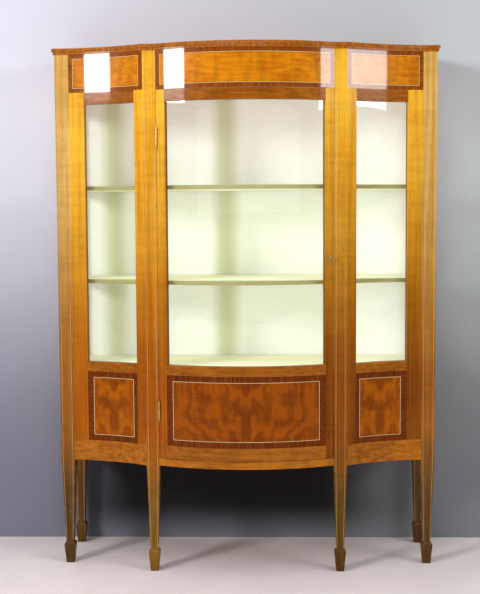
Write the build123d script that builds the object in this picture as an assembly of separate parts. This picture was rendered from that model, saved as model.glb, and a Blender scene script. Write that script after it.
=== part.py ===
from build123d import *
from collections import namedtuple
from math import asin, copysign, cos, degrees, hypot, radians, sin, sqrt
import os

# A serpentine-fronted display cabinet on six tapered legs: a bowed door between
# two hollow flanks.
# The origin is on the floor under the middle of the top board.
# +Z is up, the front faces -Y, and left and right are the viewer's when facing it.
# All sizes are in millimetres.

# Overall
overall_height = 1700
overall_depth = 430
post_span = 1236
top_thickness = 20
top_overhang = 8
top_step_height = 7
top_step_overhang = 3.5
top_edge_round = 4
top_nosing_rings = 6

# Posts, which run down into the legs
inner_post = 42
outer_post = 45
back_post = 42
leg_height = 353
ankle_height = 72
ankle_width = 25
foot_height = 64
foot_width = 37
toe_width = 25

# Plan of the front
door_opening = 564
bow_rise = 63
outer_set_back = 85
flank_radius = 610

# Heights of what the posts carry
frieze_height = 122
frieze_thickness = 24
door_sill_height = 24
rail_thickness = 20
back_rail_height = 40
sight_bottom = 682
top_rail = 38
middle_rail = 32
floor_top = 668
lower_shelf_top = 952
upper_shelf_top = 1257

# Door and flank frames
frame_thickness = 22
door_stile = 28
flank_inner_stile = 34
flank_outer_stile = 50
door_bottom_rail = 42
door_gap = 1.5
panel_recess = 2
panel_thickness = 13
front_lip = 9
rebate_width = 6
glass_thickness = 3
glass_edge_gap = 0.8
glass_face_gap = 0.1
bead_depth = 8

# Boards
board_thickness = 14
shelf_thickness = 14
shelf_front_gap = 12
shelf_gap = 1.5
floor_door_gap = 4
back_thickness = 8
lining_thickness = 3
curve_gap = 0.2

# Shelf bearers
bearer_width = 14
bearer_reach = 16
bearer_height = 18
bearer_nose = 8
bearer_inset = 10

# Door hinges
hinge_length = 64
hinge_inset = 120
barrel_radius = 3.5
barrel_forward = 5
hinge_pin_radius = 1.8
hinge_pin_gap = 0.05
leaf_thickness = 1.5
leaf_width = 24
leaf_play = 0.2
knuckle_gap = 0.2

# Lock and key
lock_height = 1020
lock_length = 44
lock_width = 20
lock_depth = 12
lock_wall = 1.2
lock_front_wood = 6
bolt_height = 12
bolt_thickness = 4
bolt_length = 16
bolt_throw = 7
bolt_gap = 0.1
bolt_shy = 0.2
mortise_gap = 0.5
keyhole_backset = 11
key_radius = 2.2
key_gap = 0.1
key_reach = 9
key_bit_drop = 7
key_bit_width = 2
key_bit_length = 3.4
key_bit_gap = 0.3
bow_half_height = 11
bow_half_depth = 9
bow_thickness = 3
bow_rim = 3.5
escutcheon_wall = 1.2
escutcheon_depth = 5
escutcheon_proud = 0.4

# Lines and levels worked out from the sizes above
back_y = overall_depth / 2
bow_front_y = top_overhang - overall_depth / 2
inner_face_y = bow_front_y + bow_rise
outer_face_y = inner_face_y + outer_set_back
inner_post_in = door_opening / 2
inner_post_out = inner_post_in + inner_post
outer_post_out = post_span / 2
outer_post_in = outer_post_out - outer_post
back_post_in = outer_post_out - back_post
end_front_y = outer_face_y + outer_post
end_back_y = back_y - back_post
end_inside_x = outer_post_out - rail_thickness
carcase_top = overall_height - top_thickness
frieze_bottom = carcase_top - frieze_height
door_bottom = leg_height + door_sill_height + door_gap
door_top = frieze_bottom - door_gap
sight_top = frieze_bottom - top_rail
plinth_top = door_bottom + door_bottom_rail
panel_top = sight_bottom - middle_rail
door_edge_x = inner_post_in - door_gap
panel_front_y = back_y - back_thickness
lining_front_y = panel_front_y - lining_thickness
cut_margin = 5
far = 2 * max(overall_height, post_span)

# A curved stretch of the front. Its radius is negative where it is hollow,
# with the centre in front of it.
Bow = namedtuple("Bow", "x y radius")


def circle_through(first, second, radius):
    """The bow of a given radius through two points, seen in plan."""
    run = second[0] - first[0]
    rise = second[1] - first[1]
    chord = hypot(run, rise)
    height = copysign(sqrt(radius**2 - (chord / 2) ** 2), radius)
    x = (first[0] + second[0]) / 2 - height * rise / chord
    y = (first[1] + second[1]) / 2 + height * run / chord
    return Bow(x, y, radius)


door_radius = (inner_post_in**2 + bow_rise**2) / (2 * bow_rise)
door_bow = Bow(0, bow_front_y + door_radius, door_radius)
flank_bow = circle_through(
    (inner_post_out, inner_face_y), (outer_post_in, outer_face_y), -flank_radius
)


def bow_point(bow, inset, angle):
    """A point behind a bow's face, where the face looks this many degrees to the right."""
    reach = bow.radius - inset
    turn = radians(angle)
    return (bow.x + reach * sin(turn), bow.y - reach * cos(turn))


def angle_at_x(bow, x, inset=0):
    return degrees(asin((x - bow.x) / (bow.radius - inset)))


def y_at_x(bow, x, inset=0):
    return bow_point(bow, inset, angle_at_x(bow, x, inset))[1]


def x_at_y(bow, y, inset=0):
    reach = bow.radius - inset
    return bow.x + copysign(sqrt(reach**2 - (bow.y - y) ** 2), reach)


def arc_angle(bow, length):
    """How far the face turns over a length to the right, negative where it is hollow."""
    return degrees(length / bow.radius)


def block(x_range, y_range, z_range):
    """A box from its lowest and highest corners."""
    size = [high - low for low, high in (x_range, y_range, z_range)]
    corner = (x_range[0], y_range[0], z_range[0])
    return Pos(*corner) * Box(*size, align=(Align.MIN, Align.MIN, Align.MIN))


def bow_arc(bow, inset, start, end):
    middle = bow_point(bow, inset, (start + end) / 2)
    return ThreePointArc(bow_point(bow, inset, start), middle, bow_point(bow, inset, end))


def bowed_block(bow, angles, insets, heights):
    """A solid between two upright cylinders about the bow's centre."""
    face_arc = bow_arc(bow, insets[0], angles[0], angles[1])
    back_arc = bow_arc(bow, insets[1], angles[1], angles[0])
    ends = [Line(face_arc @ 1, back_arc @ 0), Line(back_arc @ 1, face_arc @ 0)]
    outline = make_face([face_arc, ends[0], back_arc, ends[1]])
    return extrude(Pos(0, 0, heights[0]) * outline, heights[1] - heights[0], dir=(0, 0, 1))


def bowed_between(bow, x_range, insets, heights):
    """A bowed block whose ends are the flat side faces of two posts."""
    spare = arc_angle(bow, 2 * frame_thickness)
    angles = [angle_at_x(bow, x_range[0]) - spare, angle_at_x(bow, x_range[1]) + spare]
    whole = bowed_block(bow, angles, insets, heights)
    return whole & block(x_range, (-far, far), heights)


def mirrored(solid):
    return mirror(solid, about=Plane.YZ)


def save(name, shape):
    if isinstance(shape, list):
        shape = Compound(children=shape)
    export_step(shape, f"parts/{name}.step")


def square_at(x, y, z, width):
    return Pos(x, y, z) * Rectangle(width, width)


def post(x, y, width):
    """A square post that tapers below the carcase to a spade foot."""
    upper = block(
        (x - width / 2, x + width / 2), (y - width / 2, y + width / 2), (leg_height, carcase_top)
    )
    levels = [
        (leg_height, width),
        (ankle_height, ankle_width),
        (foot_height, foot_width),
        (0, toe_width),
    ]
    solid = upper
    for (high, wide), (low, narrow) in zip(levels, levels[1:]):
        solid += loft([square_at(x, y, low, narrow), square_at(x, y, high, wide)], ruled=True)
    return solid


def rod_along_y(x, z, radius, y_from, y_to):
    length = y_to - y_from
    return Pos(x, y_from + length / 2, z) * Rot(90, 0, 0) * Cylinder(radius, length)


def bearer_places():
    """Where the shelf bearers are glued: x, the post's face, and the way they point."""
    inner_x = inner_post_in + inner_post / 2
    return [
        (inner_x, inner_face_y + inner_post, 1),
        (outer_post_in + bearer_inset, end_front_y, 1),
        (back_post_in + bearer_inset, end_back_y, -1),
    ]


def bearer(x, face_y, way, top):
    """A small block that a shelf rests on, tapered underneath towards its nose."""
    nose_y = face_y + way * bearer_reach
    side = Polyline(
        (x, face_y, top),
        (x, nose_y, top),
        (x, nose_y, top - bearer_nose),
        (x, face_y, top - bearer_height),
        close=True,
    )
    return extrude(make_face(side), bearer_width / 2, dir=(1, 0, 0), both=True)


def shelf_bearers():
    bearers = []
    for top in (lower_shelf_top, upper_shelf_top):
        for x, face_y, way in bearer_places():
            block_under = bearer(x, face_y, way, top - shelf_thickness)
            bearers += [block_under, mirrored(block_under)]
    return bearers


# Curved glazed frames

def glazing_insets():
    glass_front = front_lip + glass_face_gap
    glass_back = glass_front + glass_thickness
    bead_front = glass_back + glass_face_gap
    return (glass_front, glass_back), (bead_front, bead_front + bead_depth)


def curved_frame(bow, edges, stile_widths, levels):
    """Stiles, rails, lower panel, bent glass and beads of one curved frame.

    The stiles' outer edges are flat and meet the posts. Every other joint points at
    the bow's centre. levels holds the bottom, panel bottom and top of the frame.
    """
    bottom, panel_bottom, top = levels
    full = (0, frame_thickness)
    sight = [
        angle_at_x(bow, edges[0]) + arc_angle(bow, stile_widths[0]),
        angle_at_x(bow, edges[1]) - arc_angle(bow, stile_widths[1]),
    ]
    rebate = arc_angle(bow, rebate_width)
    shadow = [sight[0] - rebate, sight[1] + rebate]
    rebate_cut = bowed_block(
        bow,
        shadow,
        (front_lip, frame_thickness + cut_margin),
        (sight_bottom - rebate_width, sight_top + rebate_width),
    )
    whole = bowed_between(bow, edges, full, (bottom, top))
    between = bowed_block(bow, sight, (-cut_margin, frame_thickness + cut_margin), (bottom, top))
    stiles = (whole - between - rebate_cut).solids().sort_by(Axis.X)
    frame = {
        "left_stile": stiles[0],
        "right_stile": stiles[-1],
        "top_rail": bowed_block(bow, sight, full, (sight_top, top)) - rebate_cut,
        "middle_rail": bowed_block(bow, sight, full, (panel_top, sight_bottom)) - rebate_cut,
        "panel": bowed_block(
            bow, sight, (panel_recess, panel_recess + panel_thickness), (panel_bottom, panel_top)
        ),
    }
    if panel_bottom > bottom:
        frame["bottom_rail"] = bowed_block(bow, sight, full, (bottom, panel_bottom))
    glass_layer, bead_layer = glazing_insets()
    play = arc_angle(bow, glass_edge_gap)
    glass_heights = (
        sight_bottom - rebate_width + glass_edge_gap,
        sight_top + rebate_width - glass_edge_gap,
    )
    frame["glass"] = bowed_block(
        bow, (shadow[0] + play, shadow[1] - play), glass_layer, glass_heights
    )
    frame["beads"] = curved_beads(bow, sight, shadow, bead_layer)
    return frame


def curved_beads(bow, sight, shadow, layer):
    """Four strips that hold the glass into its rebate from behind."""
    low = sight_bottom - rebate_width
    high = sight_top + rebate_width
    return [
        bowed_block(bow, (shadow[0], sight[0]), layer, (low, high)),
        bowed_block(bow, (sight[1], shadow[1]), layer, (low, high)),
        bowed_block(bow, sight, layer, (low, sight_bottom)),
        bowed_block(bow, sight, layer, (sight_top, high)),
    ]


# Flat glazed ends

def end_glass_x():
    """Inner and outer face of the end glass, behind a lip as thick as the frames' lip."""
    outside = outer_post_out - front_lip - glass_face_gap
    return (outside - glass_thickness, outside)


def end_rebate():
    """What the glass and its beads take out of the posts and rails round them."""
    return block(
        (end_inside_x - rail_thickness, outer_post_out - front_lip),
        (end_front_y - rebate_width, end_back_y + rebate_width),
        (sight_bottom - rebate_width, sight_top + rebate_width),
    ) & block((end_inside_x, far), (-far, far), (0, far))


def end_beads():
    bead_x = (end_inside_x, end_glass_x()[0] - glass_face_gap)
    low = sight_bottom - rebate_width
    high = sight_top + rebate_width
    return [
        block(bead_x, (end_front_y - rebate_width, end_front_y), (low, high)),
        block(bead_x, (end_back_y, end_back_y + rebate_width), (low, high)),
        block(bead_x, (end_front_y, end_back_y), (low, sight_bottom)),
        block(bead_x, (end_front_y, end_back_y), (sight_top, high)),
    ]


def end_pieces():
    """The right end: frieze, rails, lower panel and glass between its two posts."""
    x_range = (end_inside_x, outer_post_out)
    y_range = (end_front_y, end_back_y)
    panel_x = (
        outer_post_out - panel_recess - panel_thickness,
        outer_post_out - panel_recess,
    )
    rebate = end_rebate()
    glass_y = (
        end_front_y - rebate_width + glass_edge_gap,
        end_back_y + rebate_width - glass_edge_gap,
    )
    glass_z = (
        sight_bottom - rebate_width + glass_edge_gap,
        sight_top + rebate_width - glass_edge_gap,
    )
    return {
        "end_frieze": block(x_range, y_range, (sight_top, carcase_top)) - rebate,
        "end_middle_rail": block(x_range, y_range, (panel_top, sight_bottom)) - rebate,
        "end_base_rail": block(x_range, y_range, (leg_height, plinth_top)),
        "end_panel": block(panel_x, y_range, (plinth_top, panel_top)),
        "end_glass": block(end_glass_x(), glass_y, glass_z),
    }


# Boards that follow the front

def plan_face(side, back, right_edges, door_arc):
    """A closed plan: its right-hand edges and their mirror images, the door's arc and the back."""
    left_edges = [mirror(edge, about=Plane.YZ) for edge in right_edges]
    return make_face([Line((-side, back), (side, back)), door_arc] + right_edges + left_edges)


def plan_outline(overhang):
    """The plan of the whole cabinet, grown outward from the faces of the posts."""
    side = outer_post_out + overhang
    outer_y = outer_face_y - overhang
    inner_y = inner_face_y - overhang
    flank_ends = [x_at_y(flank_bow, y, -overhang) for y in (outer_y, inner_y)]
    flank = [angle_at_x(flank_bow, x, -overhang) for x in flank_ends]
    flank_arc = bow_arc(flank_bow, -overhang, flank[0], flank[1])
    door_end = angle_at_x(door_bow, x_at_y(door_bow, inner_y, -overhang), -overhang)
    door_arc = bow_arc(door_bow, -overhang, -door_end, door_end)
    right_edges = [
        Line((side, back_y), (side, outer_y)),
        Line((side, outer_y), flank_arc @ 0),
        flank_arc,
        Line(flank_arc @ 1, door_arc @ 1),
    ]
    return plan_face(side, back_y, right_edges, door_arc)


def top_board():
    """The top: a rounded nosing over a small step, both following the plan."""
    step = Pos(0, 0, carcase_top) * plan_outline(top_step_overhang)
    nosing_height = top_thickness - top_step_height
    middle = overall_height - nosing_height / 2
    rings = []
    for ring in range(top_nosing_rings + 1):
        turn = radians(180 * ring / top_nosing_rings - 90)
        overhang = top_overhang - top_edge_round * (1 - cos(turn))
        height = middle + nosing_height / 2 * sin(turn)
        rings.append(Pos(0, 0, height) * plan_outline(overhang))
    return extrude(step, top_step_height, dir=(0, 0, 1)) + loft(rings, ruled=True)


def inside_board(door_inset, flank_inset, side, back, thickness, top, post_gap):
    """A board inside the case, cut round the posts."""
    start = angle_at_x(flank_bow, side, flank_inset)
    end = angle_at_x(flank_bow, inner_post_out, flank_inset)
    flank_arc = bow_arc(flank_bow, flank_inset, start, end)
    door_end = angle_at_x(door_bow, inner_post_in, door_inset)
    door_arc = bow_arc(door_bow, door_inset, -door_end, door_end)
    right_edges = [
        Line((side, back), flank_arc @ 0),
        flank_arc,
        Line(flank_arc @ 1, door_arc @ 1),
    ]
    outline = Pos(0, 0, top - thickness) * plan_face(side, back, right_edges, door_arc)
    board = extrude(outline, thickness, dir=(0, 0, 1))
    for x_range, y_range in post_footprints(post_gap):
        corner = block(x_range, y_range, (top - thickness, top))
        board -= corner
        board -= mirrored(corner)
    return board


def post_footprints(gap):
    inner_y = (inner_face_y - far, inner_face_y + inner_post + gap)
    outer_y = (outer_face_y - far, end_front_y + gap)
    return [
        ((inner_post_in - gap, inner_post_out + gap), inner_y),
        ((outer_post_in - gap, far), outer_y),
        ((back_post_in - gap, far), (end_back_y - gap, far)),
    ]


def case_bottom():
    inset = frame_thickness + curve_gap
    back = panel_front_y - rail_thickness
    top = leg_height + door_sill_height
    return inside_board(inset, inset, end_inside_x, back, board_thickness, top, 0)


def display_floor():
    door_inset = frame_thickness + floor_door_gap
    flank_inset = frame_thickness + curve_gap
    return inside_board(
        door_inset, flank_inset, end_inside_x, lining_front_y, board_thickness, floor_top, 0
    )


def shelf(top):
    inset = frame_thickness + shelf_front_gap
    side = end_inside_x - shelf_gap
    back = lining_front_y - shelf_gap
    return inside_board(inset, inset, side, back, shelf_thickness, top, shelf_gap)


# Hinges, on the left side of the door

hinge_pin_x = -(door_edge_x + door_gap / 2)
hinge_pin_y = inner_face_y - barrel_forward


def hinge_levels():
    return [
        (door_bottom + hinge_inset, door_bottom + hinge_inset + hinge_length),
        (door_top - hinge_inset - hinge_length, door_top - hinge_inset),
    ]


def leaf_range(side):
    """Where a leaf lies across the gap: side -1 is the post's, +1 is the door's."""
    near = hinge_pin_x + side * leaf_play / 2
    return sorted([near, near + side * leaf_thickness])


def hinge_leaf(side, level, knuckles, bore):
    """One leaf with its knuckles. The plate starts behind the other leaf's barrel."""
    x_range = leaf_range(side)
    back = hinge_pin_y + leaf_width
    plate_front = hinge_pin_y + barrel_radius + leaf_play
    leaf = block(x_range, (plate_front, back), level)
    for low, high in knuckles:
        middle = Pos(hinge_pin_x, hinge_pin_y, (low + high) / 2)
        leaf += block(x_range, (hinge_pin_y, back), (low, high))
        leaf += middle * Cylinder(barrel_radius, high - low)
        if bore:
            leaf -= middle * Cylinder(bore, high - low + cut_margin)
    return leaf


def door_hinge(level):
    """The post's leaf with the pin in its end knuckles, and the door's leaf."""
    low, high = level
    third = (high - low) / 3
    ends = [(low, low + third), (high - third, high)]
    middle = [(low + third + knuckle_gap, high - third - knuckle_gap)]
    pin = Pos(hinge_pin_x, hinge_pin_y, (low + high) / 2) * Cylinder(hinge_pin_radius, high - low)
    post_leaf = hinge_leaf(-1, level, ends, 0) + pin
    door_leaf = hinge_leaf(1, level, middle, hinge_pin_radius + hinge_pin_gap)
    return post_leaf, door_leaf


def leaf_recess(side, level):
    """What a leaf takes out of the wood it is let into."""
    near, deep = hinge_pin_x, leaf_range(side)[0 if side < 0 else 1]
    return block(
        sorted([near, deep]), (hinge_pin_y - frame_thickness, hinge_pin_y + leaf_width), level
    )


# Lock, key and keyhole, on the right side of the door

lock_x = (door_edge_x - lock_width, door_edge_x)
lock_y = (
    y_at_x(door_bow, door_edge_x) + lock_front_wood,
    y_at_x(door_bow, door_edge_x) + lock_front_wood + lock_depth,
)
lock_z = (lock_height - lock_length / 2, lock_height + lock_length / 2)
bolt_y = (
    lock_y[1] - lock_wall - bolt_gap - bolt_thickness,
    lock_y[1] - lock_wall - bolt_gap,
)
bolt_z = (lock_height - bolt_height / 2, lock_height + bolt_height / 2)
keyhole_x = door_edge_x - keyhole_backset


def grown(span, gap):
    return (span[0] - gap, span[1] + gap)


def keyhole_cut(wall, y_range):
    """A keyhole along Y, grown by a wall: a round hole over a slot for the bit."""
    round_part = rod_along_y(keyhole_x, lock_height, key_radius + key_gap + wall, *y_range)
    half = key_bit_width / 2 + key_bit_gap + wall
    drop = key_bit_drop + key_bit_gap + wall
    slot = block((keyhole_x - half, keyhole_x + half), y_range, (lock_height - drop, lock_height))
    return round_part + slot


def lock_case():
    inside = block(
        grown(lock_x, -lock_wall), grown(lock_y, -lock_wall), grown(lock_z, -lock_wall)
    )
    bolt_slot = block(
        (door_edge_x - 2 * lock_wall, door_edge_x + cut_margin),
        grown(bolt_y, bolt_gap),
        grown(bolt_z, bolt_gap),
    )
    shell = block(lock_x, lock_y, lock_z) - inside - bolt_slot
    return shell - keyhole_cut(0, (lock_y[0] - cut_margin, lock_y[0] + lock_wall))


def lock_bolt():
    end_x = door_edge_x - bolt_shy
    return block((end_x - bolt_length, end_x), bolt_y, bolt_z)


def escutcheon():
    """A brass lining round the keyhole, its front cut to the curve of the stile."""
    y_range = (bow_front_y - cut_margin, lock_y[0])
    liner = keyhole_cut(escutcheon_wall, y_range) - keyhole_cut(0, y_range)
    spare = 2 * arc_angle(door_bow, lock_width)
    at_lock = angle_at_x(door_bow, keyhole_x)
    layer = bowed_block(
        door_bow, (at_lock - spare, at_lock + spare), (-escutcheon_proud, escutcheon_depth), lock_z
    )
    return liner & layer


def key():
    """Shank, bit and an oval bow, with the bit hanging down in the lock."""
    tip = bolt_y[0] - bolt_gap - key_bit_gap
    bow_near = y_at_x(door_bow, keyhole_x) - key_reach
    shank = rod_along_y(keyhole_x, lock_height, key_radius, bow_near - bow_rim / 2, tip)
    half = key_bit_width / 2
    bit = block(
        (keyhole_x - half, keyhole_x + half),
        (tip - key_bit_length, tip),
        (lock_height - key_bit_drop, lock_height),
    )
    rim = Ellipse(bow_half_depth, bow_half_height)
    rim -= Ellipse(bow_half_depth - bow_rim, bow_half_height - bow_rim)
    bow_plane = Plane(
        origin=(keyhole_x - bow_thickness / 2, bow_near - bow_half_depth, lock_height),
        x_dir=(0, 1, 0),
        z_dir=(1, 0, 0),
    )
    return shank + bit + extrude(bow_plane * rim, bow_thickness)


# Build every piece and write it out

os.makedirs("parts", exist_ok=True)

inner_y = inner_face_y + inner_post / 2
outer_y = outer_face_y + outer_post / 2
back_leg_y = back_y - back_post / 2

right_inner = post(inner_post_in + inner_post / 2, inner_y, inner_post)
left_inner = mirrored(right_inner)
for level in hinge_levels():
    left_inner -= leaf_recess(-1, level)
mortise = block(
    (inner_post_in - cut_margin, inner_post_in + bolt_throw + mortise_gap),
    grown(bolt_y, mortise_gap),
    grown(bolt_z, mortise_gap),
)
right_outer = post(outer_post_in + outer_post / 2, outer_y, outer_post) - end_rebate()
right_back = post(back_post_in + back_post / 2, back_leg_y, back_post) - end_rebate()
save("inner_front_leg_left", left_inner)
save("inner_front_leg_right", right_inner - mortise)
save("outer_front_leg_left", mirrored(right_outer))
save("outer_front_leg_right", right_outer)
save("back_leg_left", mirrored(right_back))
save("back_leg_right", right_back)

save("top_board", top_board())
frieze_levels = (frieze_bottom, carcase_top)
door_span = (-inner_post_in, inner_post_in)
flank_span = (inner_post_out, outer_post_in)
save("frieze_centre", bowed_between(door_bow, door_span, (0, frieze_thickness), frieze_levels))
frieze_flank = bowed_between(flank_bow, flank_span, (0, frieze_thickness), frieze_levels)
save("frieze_left", mirrored(frieze_flank))
save("frieze_right", frieze_flank)
sill_levels = (leg_height, leg_height + door_sill_height)
save("base_rail_centre", bowed_between(door_bow, door_span, (0, frame_thickness), sill_levels))
plinth_levels = (leg_height, plinth_top)
base_flank = bowed_between(flank_bow, flank_span, (0, frame_thickness), plinth_levels)
save("base_rail_left", mirrored(base_flank))
save("base_rail_right", base_flank)

back_span = (-back_post_in, back_post_in)
back_rail_y = (panel_front_y - rail_thickness, panel_front_y)
save("back_top_rail", block(back_span, back_rail_y, (carcase_top - back_rail_height, carcase_top)))
save("back_base_rail", block(back_span, back_rail_y, (leg_height, leg_height + back_rail_height)))
save("back_panel", block(back_span, (panel_front_y, back_y), (leg_height, carcase_top)))
lining_levels = (floor_top - board_thickness, carcase_top - back_rail_height)
save("back_lining", block(back_span, (lining_front_y, panel_front_y), lining_levels))

for name, piece in end_pieces().items():
    save(f"{name}_left", mirrored(piece))
    save(f"{name}_right", piece)
right_beads = end_beads()
save("end_glazing_beads", right_beads + [mirrored(bead) for bead in right_beads])

save("case_bottom_board", case_bottom())
save("display_floor", display_floor())
save("lower_shelf", shelf(lower_shelf_top))
save("upper_shelf", shelf(upper_shelf_top))
save("shelf_bearers", shelf_bearers())

flank = curved_frame(
    flank_bow, flank_span, (flank_inner_stile, flank_outer_stile),
    (plinth_top, plinth_top, frieze_bottom),
)
flank_names = {
    "left_stile": "inner_stile",
    "right_stile": "outer_stile",
    "top_rail": "top_rail",
    "middle_rail": "middle_rail",
    "panel": "panel",
    "glass": "glass",
}
for piece, name in flank_names.items():
    save(f"flank_{name}_left", mirrored(flank[piece]))
    save(f"flank_{name}_right", flank[piece])
save("flank_glazing_beads", flank["beads"] + [mirrored(bead) for bead in flank["beads"]])

door = curved_frame(
    door_bow, (-door_edge_x, door_edge_x), (door_stile, door_stile),
    (door_bottom, plinth_top, door_top),
)
hinge_stile = door["left_stile"]
post_leaves = []
door_leaves = []
for level in hinge_levels():
    hinge_stile -= leaf_recess(1, level)
    post_leaf, door_leaf = door_hinge(level)
    post_leaves.append(post_leaf)
    door_leaves.append(door_leaf)
lock_stile = door["right_stile"]
lock_stile -= block((lock_x[0], far), (lock_y[0], far), lock_z)
lock_stile -= keyhole_cut(0, (bow_front_y - cut_margin, lock_y[0]))
lining_seat = keyhole_cut(escutcheon_wall, (bow_front_y - cut_margin, lock_y[0]))
lining_seat &= bowed_between(door_bow, lock_x, (-cut_margin, escutcheon_depth), lock_z)
save("door_hinge_stile", hinge_stile)
save("door_lock_stile", lock_stile - lining_seat)
save("door_top_rail", door["top_rail"])
save("door_middle_rail", door["middle_rail"])
save("door_bottom_rail", door["bottom_rail"])
save("door_panel", door["panel"])
save("door_glass", door["glass"])
save("door_glazing_beads", door["beads"])
save("hinge_post_leaves", post_leaves)
save("hinge_door_leaves", door_leaves)
save("lock_case", lock_case())
save("lock_bolt", lock_bolt())
save("escutcheon", escutcheon())
save("key", key())
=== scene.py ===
# %% [markdown]
# # A serpentine display cabinet in satinwood
#
# The cabinet stands on six tapered legs. A bowed, glazed door fills the middle of
# its front, and two hollow glazed flanks run back from it to the corners. The
# joinery is already modelled piece by piece, so this lesson loads it, polishes it,
# lines it with cloth, and then lights and photographs it.
#
# Everything is in metres. The front faces -Y, +X is the viewer's right, and the
# floor is at z = 0.

# %% Load the joinery
import math

import bmesh
import bpy
import numpy as np
from mathutils import Matrix, Vector


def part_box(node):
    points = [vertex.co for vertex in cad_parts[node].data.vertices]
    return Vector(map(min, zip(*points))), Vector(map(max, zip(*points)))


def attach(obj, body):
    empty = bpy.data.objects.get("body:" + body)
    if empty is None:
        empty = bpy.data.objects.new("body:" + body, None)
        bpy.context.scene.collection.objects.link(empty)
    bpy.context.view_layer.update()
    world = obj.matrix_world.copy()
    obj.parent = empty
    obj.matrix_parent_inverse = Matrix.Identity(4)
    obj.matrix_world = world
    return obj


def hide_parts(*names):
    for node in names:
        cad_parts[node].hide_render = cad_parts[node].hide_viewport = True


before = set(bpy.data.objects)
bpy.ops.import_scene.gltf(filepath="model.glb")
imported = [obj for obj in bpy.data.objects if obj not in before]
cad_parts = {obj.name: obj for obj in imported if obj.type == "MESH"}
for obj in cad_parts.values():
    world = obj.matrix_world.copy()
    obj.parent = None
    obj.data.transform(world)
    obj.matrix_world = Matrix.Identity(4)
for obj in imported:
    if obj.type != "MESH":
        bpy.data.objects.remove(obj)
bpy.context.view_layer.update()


def put_in_scene(name, data):
    thing = bpy.data.objects.new(name, data)
    bpy.context.scene.collection.objects.link(thing)
    return thing


def box_of(node):
    low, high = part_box(node)
    return tuple(low), tuple(high)


# %% [markdown]
# ## The camera
#
# A cabinet is photographed from a few metres away with a long lens, so that its
# uprights stay nearly upright. The camera's place, tilt and lens come from the
# legs' feet, the corners and the slight lean of the posts in the picture. The lens
# is worked out from the picture's long side, which is how Blender measures it.

# %% Place the camera
PICTURE_SIZE = (480, 594)
FOCAL_PIXELS = 1105.0
CAMERA_PLACE = Vector((0.0757, -3.6656, 1.171))
CAMERA_PITCH, CAMERA_YAW, CAMERA_ROLL = (math.radians(a) for a in (4.41, 1.53, -0.33))


def add_camera():
    """A camera looking along +Y, turned left by the yaw, down by the pitch, then rolled."""
    data = bpy.data.cameras.new("camera")
    data.sensor_fit = "AUTO"
    data.sensor_width = 36.0
    data.lens = FOCAL_PIXELS * data.sensor_width / max(PICTURE_SIZE)
    camera = put_in_scene("camera", data)
    turned = (
        Matrix.Rotation(CAMERA_YAW, 4, "Z")
        @ Matrix.Rotation(math.radians(90) - CAMERA_PITCH, 4, "X")
        @ Matrix.Rotation(CAMERA_ROLL, 4, "Z")
    )
    camera.matrix_world = Matrix.Translation(CAMERA_PLACE) @ turned
    bpy.context.scene.camera = camera
    return camera


camera = add_camera()
print(f"lens {camera.data.lens:.1f} mm")

# %% [markdown]
# ## Writing shaders as sums
#
# A wood finish is mostly arithmetic: streaks times a darkness, plus pores, minus
# wear. Nodes are awkward to read as arithmetic, so one small class wraps a socket
# and lets Python's own operators add the Math nodes. A second class holds the
# material and has the one method that adds any other node.

# %% Sockets with arithmetic


class Shade:
    """One socket of a material. Arithmetic on it adds Math nodes."""

    def __init__(self, finish, socket):
        self.finish = finish
        self.socket = socket

    def math(self, operation, *others, clamp=False):
        settings = {"operation": operation, "use_clamp": clamp}
        return self.finish.add("ShaderNodeMath", settings, dict(enumerate((self, *others))))

    def __add__(self, other):
        return self.math("ADD", other)

    def __mul__(self, other):
        return self.math("MULTIPLY", other)

    __radd__, __rmul__ = __add__, __mul__

    def __sub__(self, other):
        return self.math("SUBTRACT", other)

    def __rsub__(self, other):
        return self.finish.add("ShaderNodeMath", {"operation": "SUBTRACT"}, {0: other, 1: self})

    def __truediv__(self, other):
        return self.math("DIVIDE", other)

    def __abs__(self):
        return self.math("ABSOLUTE")

    def least(self, other):
        return self.math("MINIMUM", other)

    def clipped(self):
        return self.math("ADD", 0.0, clamp=True)


print("sockets can be added up")

# %% A material and its nodes


def linear(red, green, blue):
    """A colour as the eye reads it, 0 to 255, turned into the linear one of a shader."""
    parts = [c / 255 for c in (red, green, blue)]
    return tuple(c / 12.92 if c <= 0.04045 else ((c + 0.055) / 1.055) ** 2.4 for c in parts)


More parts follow.
